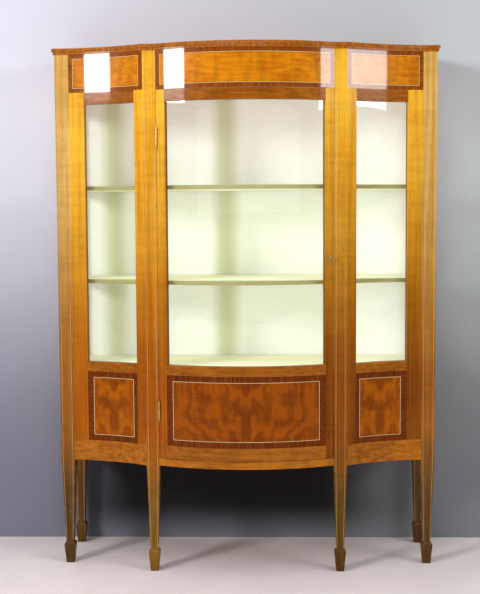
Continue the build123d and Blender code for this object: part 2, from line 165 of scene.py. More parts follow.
class Finish:
    """A material being mixed, or a world."""

    def __init__(self, name, kind="materials"):
        self.material = getattr(bpy.data, kind).new(name)
        self.material.use_nodes = True
        self.tree = self.material.node_tree
        self.tree.nodes.clear()

    def feed(self, socket, value):
        if isinstance(value, Shade):
            self.tree.links.new(value.socket, socket)
        elif isinstance(value, tuple) and len(value) == 3 and socket.type == "RGBA":
            socket.default_value = (*value, 1.0)
        else:
            socket.default_value = value

    def add(self, kind, settings, sockets, outputs=(0,)):
        """Adds a node: its settings first, then the values or links of its sockets."""
        node = self.tree.nodes.new(kind)
        for key, value in settings.items():
            setattr(node, key, value)
        for key, value in sockets.items():
            self.feed(node.inputs[key], value)
        found = [Shade(self, node.outputs[which]) for which in outputs]
        return found[0] if len(found) == 1 else found

    def place(self):
        return self.add("ShaderNodeTexCoord", {}, {}, ("Object",))

    def parts(self, vector):
        return self.add("ShaderNodeSeparateXYZ", {}, {0: vector}, (0, 1, 2))

    def vector(self, x, y, z):
        return self.add("ShaderNodeCombineXYZ", {}, {0: x, 1: y, 2: z})

    def noise(self, vector, scale=1.0, detail=3.0, rough=0.5, output="Fac"):
        sockets = {"Vector": vector, "Scale": scale, "Detail": detail, "Roughness": rough}
        return self.add("ShaderNodeTexNoise", {}, sockets, (output,))

    def stretched(self, vector, scales):
        return self.add("ShaderNodeMapping", {}, {"Vector": vector, "Scale": scales})

    def mix(self, factor, first, second, blend="MIX"):
        settings = {"data_type": "RGBA", "blend_type": blend}
        return self.add("ShaderNodeMix", settings, {0: factor, 6: first, 7: second}, (2,))

    def rise(self, value, start, end):
        """0 below start, 1 above end, and smooth between them."""
        sockets = {0: value, 1: start, 2: end}
        settings = {"interpolation_type": "SMOOTHSTEP"}
        return self.add("ShaderNodeMapRange", settings, sockets)

    def line(self, distance, at, half_width):
        """1 on a line where the distance has this value, 0 away from it."""
        return 1 - self.rise(abs(distance - at), 0.8 * half_width, 1.2 * half_width)

    def dimmed(self, colour, share):
        """A colour times a share, which is 1 where the colour stays as it is."""
        return self.mix(1.0, colour, self.vector(share, share, share), blend="MULTIPLY")

    def bump(self, height, relief):
        """Relief from a height of 0 to 1, which stands for this many metres."""
        sockets = {"Strength": 1.0, "Distance": relief, "Height": height}
        return self.add("ShaderNodeBump", {}, sockets)

    def surface(self, colour, roughness, height, relief, **sockets):
        """Ends the material with a Principled shader and its relief."""
        values = {"Base Color": colour, "Roughness": roughness, **sockets}
        values["Normal"] = self.bump(height, relief)
        return self.end(self.add("ShaderNodeBsdfPrincipled", {}, values))

    def end(self, shader):
        self.add("ShaderNodeOutputMaterial", {}, {"Surface": shader}, ())
        return self.material


print("shader kit ready")

# %% [markdown]
# ## Satinwood and mahogany
#
# Wood is long fibres, so every mark in it is drawn out along the grain: streaks a
# few millimetres apart that wander slowly, and pores as short fine dashes.
# Satinwood also has a soft ripple across the grain. Noise squeezed across the
# grain and stretched along it gives all three, from the piece's own coordinates,
# so the marks run through a piece as they do through timber.

# %% The grain of any wood
AXES = {"x": 0, "y": 1, "z": 2}

# Each noise has a scale along the grain, one across it, its detail and its roughness.
STREAKS = (1.8, 95.0, 5.0, 0.6)
PORES = (30.0, 900.0, 2.0, 0.5)
RIPPLE = (48.0, 9.0, 2.0, 0.5)
DRIFT = (1.6, 5.0)
WANDER = 0.006


def along_and_across(axis, along, across):
    """Scales for the three axes: one along the grain and another across it."""
    scales = [across, across, across]
    scales[AXES[axis]] = along
    return tuple(scales)


def grain(f, axis):
    """Streaks, pores and ripple, each from 0 to 1, for grain that runs along an axis.

    The coordinates are first pushed aside by a slow noise, so that the streaks
    wander. The three marks are the same noise at three pairs of scales.
    """
    place = f.place()
    drift = f.noise(f.stretched(place, along_and_across(axis, *DRIFT)), output="Color")
    middle = (0.5, 0.5, 0.5)
    centred = f.add("ShaderNodeVectorMath", {"operation": "SUBTRACT"}, {0: drift, 1: middle})
    push = f.add("ShaderNodeVectorMath", {"operation": "SCALE"}, {0: centred, "Scale": WANDER})
    moved = f.add("ShaderNodeVectorMath", {"operation": "ADD"}, {0: place, 1: push})
    marks = []
    for along, across, detail, rough in (STREAKS, PORES, RIPPLE):
        drawn_out = f.stretched(moved, along_and_across(axis, along, across))
        marks.append(f.noise(drawn_out, detail=detail, rough=rough))
    return marks


print("the grain can run along", ", ".join(AXES))

# %% A polished wood
INLAY_HALF_WIDTH = 0.0007
POLISH_RELIEF = 0.00012
INLAY_PALE = linear(236, 205, 140)
INLAY_DARK = linear(38, 20, 12)


def inlay(f, colour, distance, at, half_width=INLAY_HALF_WIDTH, edging=0.7):
    """Lets in a pale line with a dark edge on each side of it."""
    colour = f.mix(edging * f.line(distance, at, 2.2 * half_width), colour, INLAY_DARK)
    return f.mix(f.line(distance, at, half_width), colour, INLAY_PALE)


def wood_colour(f, axis, light, dark, pore=0.3, rippled=0.1):
    """The wood's two tones mixed by its streaks, darkened by pores and ripple."""
    streaks, pores, ripple = grain(f, axis)
    cloudy = f.noise(f.place(), scale=4.5, detail=2.0)
    tone = f.rise(streaks + 0.55 * (cloudy - 0.5), 0.3, 0.72)
    colour = f.mix(tone, light, dark)
    dash = f.rise(pores, 0.58, 0.7)
    shade = 1 - pore * dash - rippled * f.rise(ripple, 0.4, 0.68)
    return f.dimmed(colour, shade), streaks, dash


def polish(f, colour, streaks, dash, rough=0.3, coat=0.12, shine=0.08, specular=0.06):
    """Polish over the wood: duller where it has been handled, pores not quite filled."""
    smudges = f.noise(f.place(), scale=9.0, detail=4.0, rough=0.6)
    roughness = rough + 0.14 * smudges + 0.1 * dash
    height = 0.35 * streaks - dash
    return f.surface(
        colour, roughness, height, POLISH_RELIEF,
        **{"Coat Weight": coat, "Coat Roughness": shine, "Specular IOR Level": specular},
    )


def plain_wood(name, axis, light, dark, **how):
    """A wood with nothing let into it."""
    f = Finish(name)
    return polish(f, *wood_colour(f, axis, light, dark), **how)


print("wood grain ready")

# %% [markdown]
# ## Legs and posts
#
# Each post is a square of solid satinwood with a fine line of pale and dark
# stringing let in near its arrises, which follows the taper down to the spade
# foot. The line needs no drawing by hand. Across a square post the smaller of the
# two distances from its middle says how far a point is from the nearest arris, so
# the line is where that distance has one value. The arrises themselves have worn
# paler, and the feet have darkened where mops and shoes have met them.
#
# The wood's colour is painted palest at the head and darkest down the leg: painted
# light and shade for the lamps reaching the top more than the foot. Upright faces
# mirror the pale floor, which would wash their colour out, so their polish is thin.

# %% Finish of the posts
LEG_TOP = 0.353
ANKLE = 0.072
ANKLE_HALF = 0.0125
STRINGING_INSET = 0.0065
STRINGING_HALF_WIDTH = 0.0004
# Painted shade on the right-hand inner posts and stiles, strongest low down.
RIGHT_PAINTED_SHADE = 0.38
WORN_ARRIS = linear(238, 196, 120)
GRUBBY_FOOT = linear(48, 34, 20)
THIN_POLISH = {"coat": 0.08, "specular": 0.05}

# Heights between which one colour turns into the next, up an upright piece: painted light and
# shade.
LEG_TO_WAIST = (0.22, 0.48)
WAIST_TO_HEAD = (0.55, 1.62)


def upright_wood_painted_light(f, tones, right_painted_shade=0.0):
    """Wood painted palest at the top of an upright piece and darkest down the leg, as painted
    light and shade.

    tones holds the light and dark colours for the head, the waist and the leg. A
    piece on the right can be darkened by painted shade, by a share that fades upwards.
    """
    x, _, z = f.parts(f.place())
    above = f.rise(z, *WAIST_TO_HEAD)
    body = f.rise(z, *LEG_TO_WAIST)
    head, waist, leg = tones
    # Painted light and shade: the tones grow paler from the leg up to the head.
    light, dark = (f.mix(body, leg[k], f.mix(above, waist[k], head[k])) for k in (0, 1))
    colour, streaks, dash = wood_colour(f, "z", light, dark)
    # Painted shade: the piece right of the middle is darkened, most low down.
    if right_painted_shade:
        kept = 1 - right_painted_shade * f.rise(x, 0.0, 0.2) * (1 - f.rise(z, 0.6, 1.4))
        colour = f.dimmed(colour, kept)
    return colour, streaks, dash


def post_finish(name, middle, half, tones, right_painted_shade=0.0):
    """A post's wood, with its stringing, worn arrises and darkened foot."""
    f = Finish(name)
    x, y, z = f.parts(f.place())
    across = abs(abs(x) - middle[0])
    deep = abs(y - middle[1])
    taper = ((z - ANKLE) / (LEG_TOP - ANKLE)).clipped()
    edge = ANKLE_HALF + (half - ANKLE_HALF) * taper
    from_arris = edge - across.least(deep)
    colour, streaks, dash = upright_wood_painted_light(f, tones, right_painted_shade)
    on_shaft = f.rise(z, ANKLE + 0.004, ANKLE + 0.006)
    inset = STRINGING_INSET * (0.4 + 0.6 * taper)
    lined = inlay(f, colour, from_arris - inset, 0.0, STRINGING_HALF_WIDTH, edging=0.35)
    colour = f.mix(0.75 * on_shaft, colour, lined)
    scuffs = f.rise(f.noise(f.place(), scale=70.0, detail=3.0), 0.42, 0.62)
    arris = (1 - f.rise(from_arris, 0.0003, 0.0016)) * scuffs * on_shaft
    colour = f.mix(0.35 * arris, colour, WORN_ARRIS)
    grubby = (1 - f.rise(z, 0.0, 0.07)) * f.noise(f.place(), scale=45.0)
    colour = f.mix(0.5 * grubby, colour, GRUBBY_FOOT)
    return polish(f, colour, streaks, dash, **THIN_POLISH)


# Light and dark colours for the head, the waist and the leg, paler upwards as painted light.
GOLDEN = (
    (linear(252, 196, 58), linear(232, 162, 34)),
    (linear(180, 98, 10), linear(150, 74, 5)),
    (linear(140, 98, 34), linear(110, 74, 24)),
)
BROWNER = (
    (linear(238, 196, 112), linear(204, 154, 70)),
    (linear(162, 102, 34), linear(130, 76, 18)),
    (linear(110, 76, 38), linear(78, 52, 26)),
)

# For each kind of post: its finish, the middle of its square on the right-hand side,
# half the square's side, its colours, and how much painted shade darkens the right-hand one.
POSTS = {
    "inner_front_leg": (
        "satinwood_inner_post", (0.303, -0.123), 0.021, GOLDEN, RIGHT_PAINTED_SHADE
    ),
    "outer_front_leg": ("satinwood_corner_post", (0.5955, -0.0365), 0.0225, BROWNER),
    "back_leg": ("satinwood_back_post", (0.597, 0.194), 0.021, BROWNER),
}
finishes = {kind: post_finish(*how) for kind, how in POSTS.items()}
print("post finishes:", ", ".join(finishes))

# %% [markdown]
# ## Stiles and rails
#
# The frames round the glass are satinwood too, with the grain along each piece:
# up the stiles and along the rails. The stiles share the inner posts' colours. The
# rails differ only in their tones and the direction of their grain, so one call
# makes each of them.

# %% Finish of the stiles and rails
RAIL_TONES = linear(176, 104, 24), linear(138, 74, 10)
BASE_TONES = linear(188, 114, 24), linear(146, 80, 9)
BEAD_TONES = linear(172, 106, 38), linear(128, 72, 22)

stile = Finish("satinwood_stile")
# The stiles get the posts' painted light, palest at the head.
stile_wood = upright_wood_painted_light(stile, GOLDEN, RIGHT_PAINTED_SHADE)
finishes["stile"] = polish(stile, *stile_wood, **THIN_POLISH)
finishes["rail"] = plain_wood("satinwood_rail", "x", *RAIL_TONES)
finishes["end_rail"] = plain_wood("satinwood_end_rail", "y", *RAIL_TONES)
finishes["base"] = plain_wood("satinwood_base_rail", "x", *BASE_TONES)
finishes["bead"] = plain_wood("glazing_bead_wood", "z", *BEAD_TONES)
print("stiles, rails and beads finished")

# %% [markdown]
# ## Banded panels and friezes
#
# A panel or frieze is a figured veneer in a frame of crossbanding, which is a
# narrow strip whose grain points outwards, with stringing between the two. The
# distance to the nearest side of the piece's own box tells the band from the
# field. Left and right pieces share one finish, because it reads the distance
# from the middle of the cabinet.

# %% Crossbanding and flame figure
BAND_WIDTH = 0.02
FRIEZE_BAND_WIDTH = 0.014
BAND_GRAIN = (12.0, 260.0)
MITRE = 0.0002
FLAMES_PER_METRE = 9.0
FLAME_SLOPE = 1.6
HEART_HALF_WIDTH = 0.09


def side_distance(value, low, high):
    """How far a coordinate is from the nearer of two sides."""
    return (value - low).least(high - value)


def banded(f, axis, field, box, band_light, band_dark, width=BAND_WIDTH, mirrored=False):
    """Frames a field colour with a crossband and stringing.

    axis is the level direction of the piece, x or y, and box its lowest and
    highest corners. In the band the grain runs across: the streaks follow z in the
    top and bottom strips and the level axis in the side strips.
    """
    parts = f.parts(f.place())
    level = abs(parts[0]) if mirrored else parts[AXES[axis]]
    sides = side_distance(level, box[0][AXES[axis]], box[1][AXES[axis]])
    ends = side_distance(parts[2], box[0][2], box[1][2])
    upright, flat = (
        f.noise(f.stretched(f.place(), along_and_across(way, *BAND_GRAIN)), detail=4.0)
        for way in ("z", axis)
    )
    in_side = f.rise(ends - sides, -MITRE, MITRE)
    streaks = flat * in_side + upright * (1 - in_side)
    band = f.mix(f.rise(streaks, 0.35, 0.65), band_light, band_dark)
    nearest = sides.least(ends)
    colour = f.mix(f.rise(nearest, width, width + 0.0003), band, field)
    return inlay(f, colour, nearest, width)


def flame(f, axis, light, dark, centre):
    """The flame of a mahogany crotch, matched in two leaves about a centre line.

    Its waves are the sine of a height that falls away on both sides of the centre
    line and is pushed about by noise. Fine streaks are laid over them.
    """
    parts = f.parts(f.place())
    level = abs(parts[0]) if axis == "x" else parts[1]
    aside = abs(level - centre)
    matched = f.vector(aside, 0.0, parts[2])
    push = f.noise(f.stretched(matched, (9.0, 1.0, 5.0)), detail=3.0, rough=0.55)
    fine = f.noise(f.stretched(matched, (120.0, 1.0, 7.0)), detail=5.0, rough=0.6)
    phase = FLAMES_PER_METRE * (parts[2] - FLAME_SLOPE * aside) + 5.5 * push
    waves = 0.5 + 0.5 * (2 * math.pi * phase).math("SINE")
    heart = 1 - f.rise(aside, 0.0, HEART_HALF_WIDTH)
    tone = (0.55 + 0.25 * heart) * waves + 0.65 * (fine - 0.5)
    _, pores, ripple = grain(f, "z")
    dash = f.rise(pores, 0.56, 0.7)
    colour = f.mix(tone.clipped(), light, dark)
    shade = 1 - 0.4 * dash - 0.2 * f.rise(ripple, 0.45, 0.7)
    return f.dimmed(colour, shade), fine, dash


print(f"bands {1000 * BAND_WIDTH:.0f} mm on panels, {1000 * FRIEZE_BAND_WIDTH:.0f} on friezes")

# %% Finish of the panels
DOOR_MAHOGANY = linear(158, 78, 1), linear(107, 45, 1)
# The flanks' and ends' mahogany is painted lighter than the door's: painted light for the left
# lamp on the left flank.
FLANK_MAHOGANY = linear(174, 91, 1), linear(119, 53, 1)
BAND_TONES = linear(124, 56, 6), linear(88, 34, 3)


def panel_finish(name, node, axis, tones, mirrored=False):
    """Flame figure about the middle of a panel, in a crossband."""
    f = Finish(name)
    low, high = box_of(node)
    centre = (low[AXES[axis]] + high[AXES[axis]]) / 2
    field, fine, dash = flame(f, axis, *tones, centre)
    colour = banded(f, axis, field, (low, high), *BAND_TONES, mirrored=mirrored)
    return polish(f, colour, fine, dash, **THIN_POLISH)


finishes["door_panel"] = panel_finish("mahogany_door_panel", "door_panel", "x", DOOR_MAHOGANY)
finishes["flank_panel"] = panel_finish(
    "mahogany_flank_panel", "flank_panel_right", "x", FLANK_MAHOGANY, mirrored=True
)
finishes["end_panel"] = panel_finish(
    "mahogany_end_panel", "end_panel_right", "y", FLANK_MAHOGANY
)
print("panels:", [name for name in finishes if name.endswith("panel")])

# %% Finish of the friezes
FRIEZE_TONES = linear(230, 146, 8), linear(200, 108, 3)
FRIEZE_BAND_TONES = linear(158, 82, 10), linear(120, 56, 5)


def frieze_finish(name, node, axis, mirrored):
    f = Finish(name)
    field, streaks, dash = wood_colour(f, axis, *FRIEZE_TONES, rippled=0.2)
    colour = banded(
        f, axis, field, box_of(node), *FRIEZE_BAND_TONES,
        width=FRIEZE_BAND_WIDTH, mirrored=mirrored,
    )
    return polish(f, colour, streaks, dash, rough=0.24, coat=0.9, shine=0.05)


finishes["frieze_centre"] = frieze_finish("satinwood_door_frieze", "frieze_centre", "x", False)
finishes["frieze_flank"] = frieze_finish("satinwood_flank_frieze", "frieze_right", "x", True)
finishes["end_frieze"] = frieze_finish("satinwood_end_frieze", "end_frieze_right", "y", False)
print("friezes:", [name for name in finishes if "frieze" in name])

# %% [markdown]
# ## The top
#
# The top is one veneered board. Its crossband follows the serpentine front, which
# is made of arcs, so the distance to the edge comes from circles: the distance to
# an arc's centre less its radius. The door's arc is seen from inside its circle,
# and a flank's from outside, which is what makes it hollow.

# %% Finish of the top
# An arc is the x and y of its centre and its radius.
DOOR_ARC = (0.0, 0.455643, 0.662643)
FLANK_ARC = (0.640937, -0.665197, 0.610)
POST_INNER = (0.282, 0.324)
TOP_EDGE_X = 0.626
BACK_Y = 0.215
TOP_OVERHANG = 0.008
TOP_BAND = 0.042
TOP_TONES = linear(196, 118, 24), linear(152, 82, 10)
TOP_BAND_TONES = linear(184, 108, 24), linear(146, 80, 14)
DUST = linear(210, 200, 180)


def arc_distance(f, x, y, arc):
    """How far a point is from an arc's centre, in plan."""
    away = f.vector(x - arc[0], y - arc[1], 0.0)
    return f.add("ShaderNodeVectorMath", {"operation": "LENGTH"}, {0: away}, ("Value",))


def top_finish():
    f = Finish("satinwood_top")
    x, y, _ = f.parts(f.place())
    side = abs(x)
    behind_door = DOOR_ARC[2] + TOP_OVERHANG - arc_distance(f, x, y, DOOR_ARC)
    behind_flank = arc_distance(f, side, y, FLANK_ARC) - FLANK_ARC[2] + TOP_OVERHANG
    at_flank = f.rise(side, POST_INNER[0], POST_INNER[1])
    front = behind_flank * at_flank + behind_door * (1 - at_flank)
    nearest = front.least(TOP_EDGE_X - side).least(BACK_Y - y)
    field, streaks, dash = wood_colour(f, "x", *TOP_TONES)
    across = f.noise(f.stretched(f.place(), (150.0, 60.0, 60.0)), detail=4.0)
    band = f.mix(f.rise(across, 0.35, 0.65), *TOP_BAND_TONES)
    colour = f.mix(f.rise(nearest, TOP_BAND, TOP_BAND + 0.0004), band, field)
    colour = inlay(f, colour, nearest, TOP_BAND)
    dust = f.rise(f.noise(f.place(), scale=6.0, detail=5.0), 0.45, 0.75)
    colour = f.mix(0.08 * dust, colour, DUST)
    return polish(f, colour, streaks, dash, rough=0.32)


finishes["top"] = top_finish()
print(f"top band {TOP_BAND * 1000:.0f} mm wide")

# %% [markdown]
# ## The carcase behind the show wood
#
# Boards that are seldom seen are plainer: straight-grained, stained, hardly
# polished. The back is made of boards side by side, so its colour changes a
# little from board to board and a fine groove shows at each joint.

# %% Finish of the carcase
BACK_BOARD = 0.128
BACK_TONES = linear(168, 122, 74), linear(128, 86, 48)
BACK_STAIN = linear(104, 66, 36)
GROOVE = linear(40, 26, 16)
CARCASE_TONES = linear(150, 98, 50), linear(112, 66, 30)


def back_finish():
    f = Finish("stained_back_boards")
    x, _, _ = f.parts(f.place())
    along_board = x / BACK_BOARD + 0.5
    number = along_board.math("FLOOR")
    from_joint = abs(along_board - number - 0.5)
    settings = {"noise_dimensions": "1D"}
    tone = f.add("ShaderNodeTexWhiteNoise", settings, {"W": number}, ("Value",))
    base, streaks, dash = wood_colour(f, "z", *BACK_TONES, pore=0.5)
    colour = f.mix(0.35 * tone, base, BACK_STAIN)
    groove = f.rise(from_joint, 0.488, 0.496)
    colour = f.mix(0.85 * groove, colour, GROOVE)
    height = 0.2 * streaks - 0.4 * dash - 3.0 * groove
    return f.surface(colour, 0.62 + 0.15 * streaks, height, 0.0003)


finishes["back"] = back_finish()
finishes["carcase"] = plain_wood(
    "stained_carcase_wood", "x", *CARCASE_TONES, rough=0.5, coat=0.1, shine=0.3
)
print("carcase finished")

# %% [markdown]
# ## Brass, steel and glass
#
# Old brass is bright where it rubs and brown where it doesn't, so its colour and
# its roughness share one noise. The key is steel, drawn to a dull shine.
#
# A pane could be made of refracting glass, but the lamps outside would then hardly
# reach the cloth inside. A pane this thin bends nothing that shows, so it is a mix
# of a clear shader and a mirror, more of a mirror at a glancing view. Bent panes
# of this age are never quite even, so a slow ripple goes into the reflection.

# %% Finish of metal and glass
BRASS_TONES = linear(222, 180, 96), linear(140, 98, 44)
STEEL_TONES = linear(176, 176, 172), linear(96, 92, 86)
GLASS_MIRROR = 0.034
GLASS_TINT = linear(252, 253, 251)
GLASS_RIPPLE = 0.0016


def metal_finish(name, bright, dull, rough):
    f = Finish(name)
    spots = f.noise(f.place(), scale=120.0, detail=5.0, rough=0.65)
    scratches = f.noise(f.stretched(f.place(), (900.0, 900.0, 60.0)), detail=2.0)
    colour = f.mix(f.rise(spots, 0.42, 0.7), bright, dull)
    roughness = rough + 0.25 * f.rise(spots, 0.45, 0.75) + 0.08 * scratches
    return f.surface(colour, roughness, scratches, 0.00003, Metallic=1.0)


def glass_finish():
    """Mirrors 3.4 % face on, and more by the fifth power of how far it is turned away."""
    f = Finish("old_window_glass")
    ripple = f.noise(f.stretched(f.place(), (6.0, 6.0, 2.5)), detail=1.0)
    normal = f.bump(ripple, GLASS_RIPPLE)
    clear = f.add("ShaderNodeBsdfTransparent", {}, {"Color": GLASS_TINT})
    mirror = f.add("ShaderNodeBsdfGlossy", {}, {"Roughness": 0.015, "Normal": normal})
    turned = f.add("ShaderNodeLayerWeight", {}, {"Blend": 0.5}, ("Facing",))
    edge_on = GLASS_MIRROR + (1 - GLASS_MIRROR) * turned.math("POWER", 5.0)
    return f.end(f.add("ShaderNodeMixShader", {}, {0: edge_on, 1: clear, 2: mirror}))


finishes["brass"] = metal_finish("aged_brass", *BRASS_TONES, rough=0.24)
finishes["steel"] = metal_finish("key_steel", *STEEL_TONES, rough=0.3)
finishes["glass"] = glass_finish()
print("metal and glass finished")

# %% [markdown]
# ## Each piece gets its finish
#
# Every piece has a name that says what it is, so its finish can be found from the
# name. Most finishes are called what the names of their pieces start with, and a
# table gives the others. The longest start that fits counts. Stiles, rails, panes
# and beads are found by a word in their names.

# %% Put the finishes on the joinery
STAINED = (
    "back_top_rail", "back_base_rail", "back_lining", "case_bottom_board", "display_floor",
    "lower_shelf", "upper_shelf", "shelf_bearers",
)
FINISH_OF = {
    **{kind: kind for kind in finishes},
    **dict.fromkeys(STAINED, "carcase"),
    **dict.fromkeys(("frieze_left", "frieze_right"), "frieze_flank"),
    **dict.fromkeys(("end_base_rail", "end_middle_rail"), "end_rail"),
    **dict.fromkeys(("hinge", "lock", "escutcheon"), "brass"),
    "key": "steel",
}
PART_WORDS = {"stile": "stile", "rail": "rail", "glass": "glass", "glazing_beads": "bead"}


def finish_name(node):
    """The longest start of the node's name that is listed, or else a word in its name."""
    starts = [start for start in FINISH_OF if node.startswith(start)]
    if starts:
        return FINISH_OF[max(starts, key=len)]
    return next(finish for word, finish in PART_WORDS.items() if word in node)


for node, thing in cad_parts.items():
    for material_slot in thing.material_slots:
        material_slot.material = finishes[finish_name(node)]
print(f"{len(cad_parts)} pieces have {len(finishes)} finishes between them")

# %% [markdown]
# ## Cloth over the shelves
#
# The shelves and the display floor are boards covered in a pale green silk, and so
# is the back. A cover is cut larger than its board, wrapped round the front edge
# and turned under. It is a surface of two parameters: how far along the cabinet,
# and how far round the board's section. Its front follows the front of the
# cabinet, set back, and steps behind the posts.

# %% The front line
OUTER_POST_BACK = -0.014
INNER_POST_BACK = -0.102
OUTER_POST_IN = 0.573
BACK_POST_IN = 0.576
BACK_POST_FRONT = 0.173
SHELF_SETBACK = 0.034
SHELF_GAP = 0.0015
FLOOR_SETBACK = 0.026
HAIR = 1e-5


def front_line(x, inset, gap):
    """How far forward a board reaches at each x, in arrays.

    Behind the door it is a circle of the door's radius less the inset. Behind a
    flank it is a circle of the flank's radius plus the inset, seen from outside.
    Behind a post it is the post's back face and a gap.
    """
    side = np.abs(x)
    door = DOOR_ARC[1] - np.sqrt((DOOR_ARC[2] - inset) ** 2 - np.minimum(side, 0.3) ** 2)
    reach = FLANK_ARC[2] + inset
    aside = np.maximum(side, POST_INNER[1] - 0.02) - FLANK_ARC[0]
    flank = FLANK_ARC[1] + np.sqrt(reach**2 - aside**2)
    line = np.where(side < POST_INNER[0] - gap, door, flank)
    behind_inner = (side >= POST_INNER[0] - gap) & (side <= POST_INNER[1] + gap)
    line = np.where(behind_inner, INNER_POST_BACK + gap, line)
    return np.where(side >= OUTER_POST_IN - gap, OUTER_POST_BACK + gap, line)


def columns(gap, side):
    """Values of x along a board: close together, and doubled where the front steps."""
    steps = [POST_INNER[0] - gap, POST_INNER[1] + gap, OUTER_POST_IN - gap, BACK_POST_IN - gap]
    doubled = [step + shift for step in steps for shift in (-HAIR, HAIR)]
    half = np.concatenate([np.linspace(0, side, 150), doubled])
    half = np.unique(np.clip(half, 0, side))
    return np.concatenate([-half[:0:-1], half])


front_middle = front_line(np.array([0.0]), SHELF_SETBACK, SHELF_GAP)[0]
print(f"a shelf reaches y = {front_middle:.4f} in the middle")

# %% A mesh from a grid of points
MERGED_WITHIN = 2e-6
NO_LENGTH = 1e-7


def new_piece(name, points, faces, material, body, uv=None):
    """A smooth mesh object from arrays of points and faces, on a body of the cabinet."""
    mesh = bpy.data.meshes.new(name)
    mesh.from_pydata(points.reshape(-1, 3).tolist(), [], faces.tolist())
    if uv is not None:
        layer = mesh.uv_layers.new(name="cloth")
        corner = np.empty(len(mesh.loops), dtype=np.int32)
        mesh.loops.foreach_get("vertex_index", corner)
        layer.data.foreach_set("uv", uv.reshape(-1, 2)[corner].astype(np.float32).ravel())
    mesh.polygons.foreach_set("use_smooth", [True] * len(mesh.polygons))
    tidy_mesh = bmesh.new()
    tidy_mesh.from_mesh(mesh)
    bmesh.ops.remove_doubles(tidy_mesh, verts=tidy_mesh.verts, dist=MERGED_WITHIN)
    bmesh.ops.dissolve_degenerate(tidy_mesh, edges=tidy_mesh.edges, dist=NO_LENGTH)
    bmesh.ops.recalc_face_normals(tidy_mesh, faces=tidy_mesh.faces)
    tidy_mesh.to_mesh(mesh)
    tidy_mesh.free()
    mesh.materials.append(material)
    thing = put_in_scene(name, mesh)
    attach(thing, body)
    return thing


def grid_faces(tall, wide, closed=False):
    """Faces between neighbouring points of a grid of rows and columns.

    A closed grid's last column is joined to its first.
    """
    row = np.arange(tall - 1)[:, None]
    column = np.arange(wide if closed else wide - 1)[None, :]
    following = (column + 1) % wide
    corners = [
        row * wide + column,
        row * wide + following,
        (row + 1) * wide + following,
        (row + 1) * wide + column,
    ]
    return np.stack(np.broadcast_arrays(*corners), axis=-1).reshape(-1, 4)


def running_length(path):
    """How far each point of a polyline is from its start, measured along it."""
    steps = np.linalg.norm(np.diff(path, axis=0), axis=1)
    return np.concatenate([[0.0], np.cumsum(steps)])


print("mesh helpers ready")

# %% The silk
THREAD = 0.0011
# Place, fades and colour of soft upright bands of painted shade in the lining's silk.
SHADE_BAND_X = -0.075
CLOTH_WIDTH = 0.39
SHADE_BAND_FADES = (0.004, 0.065)
CLOTH_RELIEF = 0.00012
PAINTED_SHADE_COLOUR = linear(178, 182, 122)
SILK_TONES = linear(246, 250, 251), linear(231, 236, 222)
# The shelf covers' silk is painted darker and yellower than the lining's: painted shade.
SHADED_SHELF_SILK_TONES = linear(240, 240, 206), linear(222, 223, 176)


def silk_finish(name, light, dark, painted_shade=0.0):
    """A plain weave with slubs: two sets of threads as sines, along the UV map in metres.

    The last argument darkens soft upright bands, one cloth's width apart, with painted shade.
    """
    f = Finish(name)
    uv = f.add("ShaderNodeUVMap", {"uv_map": "cloth"}, {}, ("UV",))
    across, along, _ = f.parts(uv)
    turns = 2 * math.pi / THREAD
    warp = (turns * across).math("SINE")
    weft = (turns * along).math("SINE")
    weave = 0.5 + 0.5 * warp * weft
    slubs = f.noise(f.stretched(uv, (14.0, 620.0, 1.0)), detail=3.0)
    soft = f.noise(f.stretched(uv, (7.0, 5.0, 1.0)), detail=3.0)
    tone = 0.3 * weave + 0.5 * f.rise(slubs, 0.4, 0.7) + 0.5 * (soft - 0.35)
    colour = f.mix(tone.clipped(), light, dark)
    # Painted shade: soft upright bands, one cloth's width apart, darkened in the colour.
    if painted_shade:
        widths = (across - SHADE_BAND_X) / CLOTH_WIDTH
        from_shade_band = CLOTH_WIDTH * abs(widths - widths.math("ROUND"))
        shade_band = 1 - f.rise(from_shade_band, *SHADE_BAND_FADES)
        colour = f.mix(painted_shade * shade_band, colour, PAINTED_SHADE_COLOUR)
    return f.surface(
        colour, 0.62 + 0.1 * weave, weave + 0.5 * slubs, CLOTH_RELIEF,
        **{"Sheen Weight": 0.25, "Sheen Roughness": 0.4},
    )


SILK = silk_finish("pale_green_silk", *SILK_TONES, painted_shade=0.7)
# The covers' silk, with painted shade in its darker, yellower tones.
SHADED_SHELF_SILK = silk_finish("shaded_shelf_silk", *SHADED_SHELF_SILK_TONES)
print("silk woven")

# %% Cover the shelves and the display floor
EDGE_ROUND = 0.0045
COVER_TURNED_UNDER = 0.03
NOSE_STEPS = 9
FLAT_STEPS = 13


def section():
    """Once round a board's section, as a share of its depth and height plus a rounded front.

    The nose is a half ellipse, the top and underside are straight, and the back is
    square. Returned are the share of the depth, the nose's extra depth and the
    share of the height.
    """
    turn = np.linspace(-math.pi / 2, math.pi / 2, NOSE_STEPS)
    nose = [np.zeros(NOSE_STEPS), 1 - np.cos(turn), 0.5 + 0.5 * np.sin(turn)]
    run = np.linspace(0, 1, FLAT_STEPS + 1)[1:]
    top = [run, 1 - run, np.ones(FLAT_STEPS)]
    under = [run[::-1], 1 - run[::-1], np.zeros(FLAT_STEPS)]
    return [np.concatenate(parts) for parts in zip(nose, top, under)]


